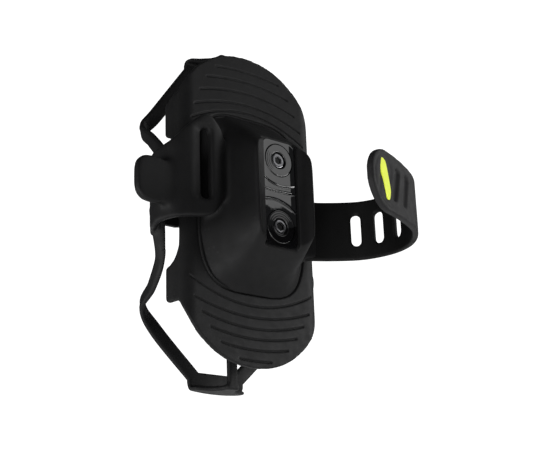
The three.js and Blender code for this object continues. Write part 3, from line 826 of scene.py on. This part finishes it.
def bands():
    mid = BAND_SEAMS["middle"]
    for level in LEVELS:
        for side_name, side in SIDES.items():
            name = f"corner_band_{level}_{side_name}"
            points = np.array(band_points(level, side), float) * [side, 1, 1]
            for half, low, high in (("arm", 1.55, mid), ("foot", mid, 7)):
                path, facing, at = band_line(level, side, low, high)
                narrow = 6.15 + 0.25 * smooth(1.9, 2.4, at) - 0.5 * bump(at, 3.2, 0.8)
                thin = 2.0 + 0.2 * smooth(1.9, 2.4, at)
                mesh = sweep(path, facing, narrow, thin, profile=ridged)
                if side < 0:
                    mesh = flipped_x(mesh)
                if half == "arm":
                    ends = ("mount_body", name, points[2], points[3])
                else:
                    ends = (name, "mount_body", points[5] * 0.45 + points[6] * 0.55, points[6])
                finish_piece(f"{name}_{half}_half", mesh, BLACK, "strap_silicone", name, blend=ends)


def root_flare():
    track = Track(STRAP_ROUTE)
    outline = [(-6, -STRAP_HALF - 0.3), (5.6, -STRAP_HALF), (5.6, STRAP_HALF), (-6, STRAP_HALF + 0.3)]
    mesh = slab(round_corners(outline, 0.8), -1.75, 1.75, 0.5)
    v = get(mesh)
    v[:, 2] *= 1.5 - 0.62 * smooth(-4, 5.6, v[:, 0])
    v[:, 1] += STRAP_Z
    return put(mesh, track.bend(v))


def upright(mesh):
    """Stands a sheet in (x, z, depth) up in the part's axes. That mirrors it, so it is flipped."""
    put(mesh, get(mesh)[:, [0, 2, 1]])
    mesh.flip_normals()
    return mesh


def cradle():
    """The web between the power bank and the phone: spine, cross arms, cushion and two flares."""
    def plate(outline, front=WEB_FRONT):
        return upright(slab(outline, front, WEB_BACK, 0.5))

    spine = plate(rectangle(0, 0.9, 2.3, 73.6, 0.6))
    arms = plate(rectangle(0, -1, 38.6, 9.0, 2.0))
    cushion = plate(rectangle(0, -1, 15.0, 16.0, 7.0), -59.0)
    flares = []
    for side in (1, -1):
        z = -1 + side * 16
        flare = [(-6.5, z - side * 1.5), (6.5, z - side * 1.5), (2.5, z + side * 4), (2.3, z + side * 9),
                 (-2.3, z + side * 9), (-2.5, z + side * 4)]
        flares.append(plate(np.array(flare, float)))
    return [spine, arms, cushion, *flares]


def foot(side):
    """Sole under the phone's short edge, cross bar on the screen side, hourglass neck behind."""
    face = 74.8 if side > 0 else -73.0
    inner, outer = face + side * 0.2, face + side * 2.4
    half = 2.75
    right = [(half + 0.6, WEB_BACK), (half + 0.5, -56.6), (half + 1.6, -59.2), (7.6, -61.8),
             (12.4, -63.8), (FOOT_HALF, -65.6), (13.4, -68.45)]
    sole = [(-x, y) for x, y in right] + right[::-1]
    z0, z1 = min(inner, outer), max(inner, outer)
    bottom = slab(round_corners(sole, 1.6), z0, z1, 0.5)
    v = get(bottom)
    v[:, 2] -= side * ((v[:, 0] / FOOT_HALF) ** 2 * smooth(0.3, 2.0, side * (v[:, 2] - inner)))
    put(bottom, v)
    rim = slab(rectangle(0, outer - side * 4.3, FOOT_HALF, 4.3, 4.1), -68.55, -66.35, 0.5)
    v = get(rim)
    v[:, 1] -= side * (v[:, 0] / FOOT_HALF) ** 2 * smooth(0, 6, side * (v[:, 1] - outer) + 8.6)
    put(rim, v)
    flare = [(2.3, face - side * 7), (1.95, face - side * 4), (2.1, face - side * 1.6),
             (half + 0.6, outer)]
    waist = [(-x, z) for x, z in flare] + flare[::-1]
    neck = slab(round_corners(waist, 1.2), WEB_FRONT, WEB_BACK, 0.5)
    return [bottom, upright(rim), upright(neck)]


def build_moulding():
    legs = [leg(level, side) for level in LEVELS for side in SIDES.values()]
    shapes = [hub(), buckle_sheet(), tongue_slab(), *fillers(), *legs, flipped_x(strap_side_sheet()),
              root_flare(), *cradle(), *foot(1), *foot(-1)]
    mesh = drop_specks(remesh(merged(*shapes), 0.42))
    relax(mesh, 3)

    def joins(v):
        """Where separate shapes meet, which is smoothed more than the rest."""
        x, y, z = v.T
        plate = smooth(12, 15, x) * (1 - smooth(25, 28, x)) * (1 - smooth(-26, -24, y))
        strap = (smooth(14, 17, -x) * (1 - smooth(29, 31, -x)) * smooth(-39, -37, y)
                 * (1 - smooth(-27, -25, y)))
        root = (smooth(38, 40, x) * (1 - smooth(48, 51, x)) * smooth(-41, -39, y)
                * (1 - smooth(12, 14, np.abs(z))))
        arm = smooth(36.5, 37.5, np.abs(x)) * smooth(-57, -55, y) * (1 - smooth(-46, -43, y))
        return np.clip(plate + strap + root + 0.35 * arm, 0, 1)

    relax(mesh, 60, joins)
    body = part_of(mesh, ((TONGUE_CUT, 0, 0), (-1, 0, 0)))
    tongue = part_of(mesh, ((TONGUE_CUT, 0, 0), (1, 0, 0)))
    finish_piece("hub_and_cradle_moulding", body, BLACK, "silicone", "hub_housing", "buckle_frame",
                 "side_arm_buckle_side", "side_arm_strap_side", "cradle_spine", "cross_arm_buckle_side",
                 "cross_arm_strap_side", "top_foot", "bottom_foot", "strap_root")
    finish_piece("hook_tongue_flap", tongue, BLACK, "silicone", "hook_tongue",
                 blend=("mount_body", "hook_tongue", (TONGUE_CUT, -33.4, 0), (53.5, -33.4, 0)))


# ---- saddle insert, collars and screws -------------------------------------------------------------
def build_insert():
    across, along, half = 80, 400, INSERT_HALF
    sections = catmull(HUB_SECTIONS, 20)
    x = np.linspace(-half, half, across)
    y = saddle_y(x)
    reach = np.interp(y, sections[:, 0], sections[:, 2]) - 0.5
    reach -= 3.2 * (1 - np.sqrt(1 - np.clip((np.abs(x) - half + 3.2) / 3.2, 0, 1) ** 2))
    X, U = np.meshgrid(x, np.linspace(-1, 1, along))
    Z = U * reach[None, :]
    curves = (2.9 + 0.03 * (X + 1.5) ** 2, 0.3 + 0.006 * X**2, -3.5 - 0.028 * (X - 3.5) ** 2)
    nearest = np.min([np.abs(Z - curve) for curve in curves], axis=0)
    faded = 1 - 0.5 * smooth(4, 7, -X)
    ripple = 0.01 * np.clip(nearest / 1.3, 0, 1) ** 2 - 0.28 * faded * np.exp(-((nearest / 0.38) ** 2))
    edge = smooth(0, 0.5, half - np.abs(X)) * smooth(0, 0.5, (reach[None, :] - np.abs(Z)))
    top = saddle_y(X) + ripple * edge - 0.05 * (1 - edge)
    rows = [np.stack([X, top, Z], -1), np.stack([X * 0.995, saddle_y(X) - 0.65, Z * 0.995], -1)]
    n = across * along
    index = np.arange(n).reshape(along, across)
    quads = []
    for base, flip in ((index, False), (index + n, True)):
        q = np.stack([base[:-1, :-1], base[:-1, 1:], base[1:, 1:], base[1:, :-1]], -1).reshape(-1, 4)
        quads.append(q[:, ::-1] if flip else q)
    rim = np.concatenate([index[0, :], index[1:, -1], index[-1, -2::-1], index[-2:0:-1, 0]])
    after = np.roll(rim, -1)
    quads.append(np.stack([rim, rim + n, after + n, after], -1))
    verts = np.vstack([row.reshape(-1, 3) for row in rows])
    mesh = recalculated(mesh_of(verts, np.vstack(quads)))
    for side in (1, -1):
        mesh = carve(mesh, lathe([(EYE_HOLE, -26), (EYE_HOLE, -10)], side * EYE_Z, 160))
    finish_piece("saddle_insert_plate", mesh, INSERT, "gloss_insert", "saddle_insert", sharp=32)


def hexed(r, a):
    """Radii round a six-sided socket for a row with a negative radius, and round a circle if not."""
    if r >= 0:
        return np.full(len(a), r)
    third = math.pi / 3
    return -r / np.cos((a + third / 2) % third - third / 2)


def build_eyes():
    for level, side in LEVELS.items():
        z = side * EYE_Z
        face = [(r, -20.0 + 0.005 * math.cos(2 * math.pi * (r - 3.9) / 0.95))  # faint rings
                for r in np.linspace(3.95, 6.75, 30)]
        collar = [(1.9, -24), (7.1, -24), (7.1, -20.32), (7.05, -20.15), (6.92, -20.03), *face[::-1],
                  (3.82, -20.04), (3.72, -20.14), (3.68, -20.3), (3.6, -22.4), (1.9, -22.4),
                  (1.9, -23.98)]
        mesh = lathe(collar, z, 144)
        finish_piece(f"screw_collar_{level}_ring", mesh, COLLAR, "gloss_insert", f"screw_collar_{level}",
                     sharp=36)
        screw = [(0.3, -29.4), (1.35, -29.4), (1.5, -29.2), (1.5, -22.15), (3.15, -22.1), (3.2, -22.0),
                 (3.2, -20.75), (3.14, -20.6), (3.0, -20.5), (2.75, -20.46), (1.85, -20.46),
                 (-1.42, -20.5),
                 (-1.34, -20.62), (-1.34, -23.6), (-0.2, -23.8)]
        mesh = lathe(screw, z, 144, hexed)
        finish_piece(f"saddle_screw_{level}_head", mesh, SCREW, "screw_steel", f"saddle_screw_{level}",
                     sharp=36)


# ---- strap, tab and inlay ----------------------------------------------------------------------------
def build_strap():
    track = Track(STRAP_ROUTE)
    length = track.length
    s = np.linspace(STRAP_SEAMS[0], 70, 40)
    low = np.full(len(s), -STRAP_HALF)
    past = np.linspace(0, 1, 40)
    tab_s = TAB_ROUND + TAB_REACH * np.sin(past * math.pi / 2)
    tab_half = TAB_HALF * np.sqrt(np.maximum(0.03, 1 - ((tab_s - TAB_ROUND) / 13.6) ** 2))
    shift = TAB_Z - STRAP_Z
    rise = np.interp(s, [50, 60, 70], [0, 1.6, 3.2])
    upper = [*zip(s, -low - rise), (76, 10.2), (82, 10.6), (88, 11.1), (94, shift + TAB_HALF - 0.15),
             *zip(tab_s, shift + tab_half)]
    lower = [*zip(s, low), (76, shift - TAB_HALF), (92, shift - TAB_HALF), *zip(tab_s, shift - tab_half)]
    outline = np.vstack([np.array(upper), np.array(lower)[::-1]])
    slots = [stadium(at, 0, 2.15, 7.1) for at in SLOTS]
    mesh = slab(outline, -STRAP_THICK / 2, STRAP_THICK / 2, 0.45, holes=slots)
    relax(mesh, 5)
    v = get(mesh)
    s, z, depth = v.T
    thick = 1 + 0.16 * smooth(70, 78, s) + 0.22 * (1 - smooth(-2, 6, s))
    outer = smooth(0.2, 1.1, depth)
    tip = np.sqrt(((s - TAB_ROUND) / TAB_REACH) ** 2 + ((z - shift) / TAB_HALF) ** 2)
    rim = bump(np.where(s > TAB_ROUND, tip, np.abs(z - shift) / TAB_HALF), 0.83, 0.055)
    rim *= smooth(96, 101, s)
    sunk = 0.32 * rim
    c, sn = math.cos(SLANT), math.sin(SLANT)
    for at in GRIP_GROOVES:
        a = (s - at) * c + (z - shift) * sn
        b = -(s - at) * sn + (z - shift) * c
        away = np.hypot(a, np.maximum(0, np.abs(b) - 5.7)) / 1.85
        sunk = sunk + 1.15 * np.exp(-(away**4))
    a = (s - INLAY_AT) * c + (z - shift) * sn
    b = -(s - INLAY_AT) * sn + (z - shift) * c
    away = np.hypot(a, np.maximum(0, np.abs(b) - 5.2)) - 3.3
    sunk = sunk + 0.35 * bump(away, 0.3, 1.1)
    edge = bump(np.abs(z), STRAP_HALF - 1.5, 0.55) * (1 - smooth(66, 72, s)) * smooth(8, 12, s)
    sunk = sunk + 0.12 * edge
    v[:, 2] = depth * thick - outer * sunk
    v[:, 1] += STRAP_Z
    put(mesh, v)
    bodies = ["mount_body", *[f"strap_link_{i}" for i in range(1, 7)], "strap_tab"]
    names = ["strap_neck", "strap_span_1", "strap_span_2", "strap_span_3", "strap_span_4", "strap_bend",
             "strap_tab_paddle"]
    for i, name in enumerate(names):
        low, high = STRAP_SEAMS[i], STRAP_SEAMS[i + 1]
        cuts = [((low, 0, 0), (1, 0, 0))] if i else []
        if i < len(names) - 1:
            cuts.append(((high, 0, 0), (-1, 0, 0)))
        piece = part_of(mesh, *cuts)
        flat = get(piece)
        # how much of the paler tone is painted in as light, rising towards the tab end
        tab_painted_light_share = piece.attributes.new("tab_painted_light", "FLOAT", "POINT")
        share = smooth(TAB_PAINTED_LIGHT_FROM, TAB_PAINTED_LIGHT_TO, flat[:, 0])
        tab_painted_light_share.data.foreach_set("value", share.astype(np.float32))
        put(piece, track.bend(flat))
        start, end = (3.5 if i == 0 else low), min(high, 81)
        ends, _ = track.at(np.array([start, end], float))
        finish_piece(name, piece, STRAP, "strap_silicone", bodies[i + 1],
                     blend=(bodies[i], bodies[i + 1], (*ends[0], STRAP_Z), (*ends[1], STRAP_Z)))
    plug = slab(stadium(INLAY_AT, 0, INLAY_HALF, 8.5, -SLANT), 0.6, 1.72, 0.28)
    relax(plug, 6)
    v = get(plug)
    a = (v[:, 0] - INLAY_AT) * c + v[:, 1] * sn
    v[:, 2] += 0.1 * (1 - (a / INLAY_HALF) ** 2) * smooth(1.2, 1.6, v[:, 2]) - 0.1
    v[:, 1] += TAB_Z
    put(plug, track.bend(v))
    finish_piece("accent_inlay_plug", plug, GLOWING_ACCENT, "accent_silicone", "accent_inlay", body="strap_tab")


# ---- build ---------------------------------------------------------------------------------------------
build_pad()
build_moulding()
bands()
build_insert()
build_eyes()
build_strap()
HIDDEN = {"core_plate": NYLON, "threaded_insert_upper": BRASS, "threaded_insert_lower": BRASS}
for node_name, look in HIDDEN.items():
    for material_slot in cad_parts[node_name].material_slots:
        material_slot.material = look


# ---- stage ---------------------------------------------------------------------------------------------
def stage_material(name, colour, strength=None):
    material = bpy.data.materials.new(name)
    material.use_nodes = True
    tree = material.node_tree
    shader = tree.nodes["Principled BSDF"]
    shader.inputs["Base Color"].default_value = (*colour, 1)
    shader.inputs["Roughness"].default_value = 0.9
    if strength is not None:
        shader.inputs["Emission Color"].default_value = (1, 1, 1, 1)
        shader.inputs["Emission Strength"].default_value = strength
    return material


def area_light(name, place, target, width, height, power):
    data = bpy.data.lights.new(name, "AREA")
    data.shape, data.size, data.size_y, data.energy = "RECTANGLE", width, height, power
    light = bpy.data.objects.new(name, data)
    light.location = place
    light.rotation_euler = (Vector(target) - Vector(place)).to_track_quat("-Z", "Y").to_euler()
    light.visible_camera = False
    bpy.context.scene.collection.objects.link(light)


FLOOR_Z = -0.4
bpy.ops.mesh.primitive_plane_add(size=12, location=(0, 0, FLOOR_Z))
floor = bpy.context.active_object
floor.name = "floor"
floor.data.materials.append(stage_material("pale_floor", (0.3, 0.3, 0.3), 0.6))
bpy.ops.mesh.primitive_uv_sphere_add(segments=64, ring_count=32, radius=6)
dome = bpy.context.active_object
dome.name = "backdrop"
dome.data.materials.append(stage_material("white_backdrop", (0, 0, 0), 1.2))
dome.visible_diffuse = dome.visible_glossy = dome.visible_transmission = dome.visible_shadow = False

bpy.context.scene.view_settings.view_transform = "Standard"
world = bpy.data.worlds.new("studio")
bpy.context.scene.world = world
world.use_nodes = True
world.node_tree.nodes["Background"].inputs["Color"].default_value = (0.95, 0.97, 1, 1)
world.node_tree.nodes["Background"].inputs["Strength"].default_value = 0.07

area_light("saddle_softbox", (-0.857, 0.203, 0.657), (-0.321, -0.247, 0.657), 1.135, 0.75, 2.7)
area_light("low_key", (-0.53, 0.37, 0.03), (0, -0.03, -0.02), 0.5, 0.13, 1.7)
area_light("left_front_fill", (0.8, 0.42, 0.05), (0.03, -0.03, 0), 0.5, 0.4, 1.0)
area_light("left_low_fill", (0.3, 0.18, -0.32), (0.02, -0.04, -0.02), 0.3, 0.3, 0.85)
area_light("left_rear_fill", (0.7, -0.3, -0.12), (0.03, -0.04, 0), 0.5, 0.25, 1.6)

camera_data = bpy.data.cameras.new("camera")
camera_data.lens, camera_data.sensor_width = 74.66, 36
camera_data.clip_start, camera_data.clip_end = 0.01, 50
camera = bpy.data.objects.new("camera", camera_data)
bpy.context.scene.collection.objects.link(camera)
yaw, pitch, roll = (math.radians(a) for a in (39.59, -18.67, -2.10))
forward = Vector((-math.sin(yaw) * math.cos(pitch), -math.cos(yaw) * math.cos(pitch),
                  -math.sin(pitch)))
right = forward.cross(Vector((0, 0, 1))).normalized()
up = right.cross(forward)
rolled_right = math.cos(roll) * right + math.sin(roll) * up
rolled_up = -math.sin(roll) * right + math.cos(roll) * up
camera.matrix_world = Matrix.Translation((0.2814, 0.3164, -0.1618)) @ Matrix(
    (rolled_right, rolled_up, -forward)).transposed().to_4x4()
bpy.context.scene.camera = camera
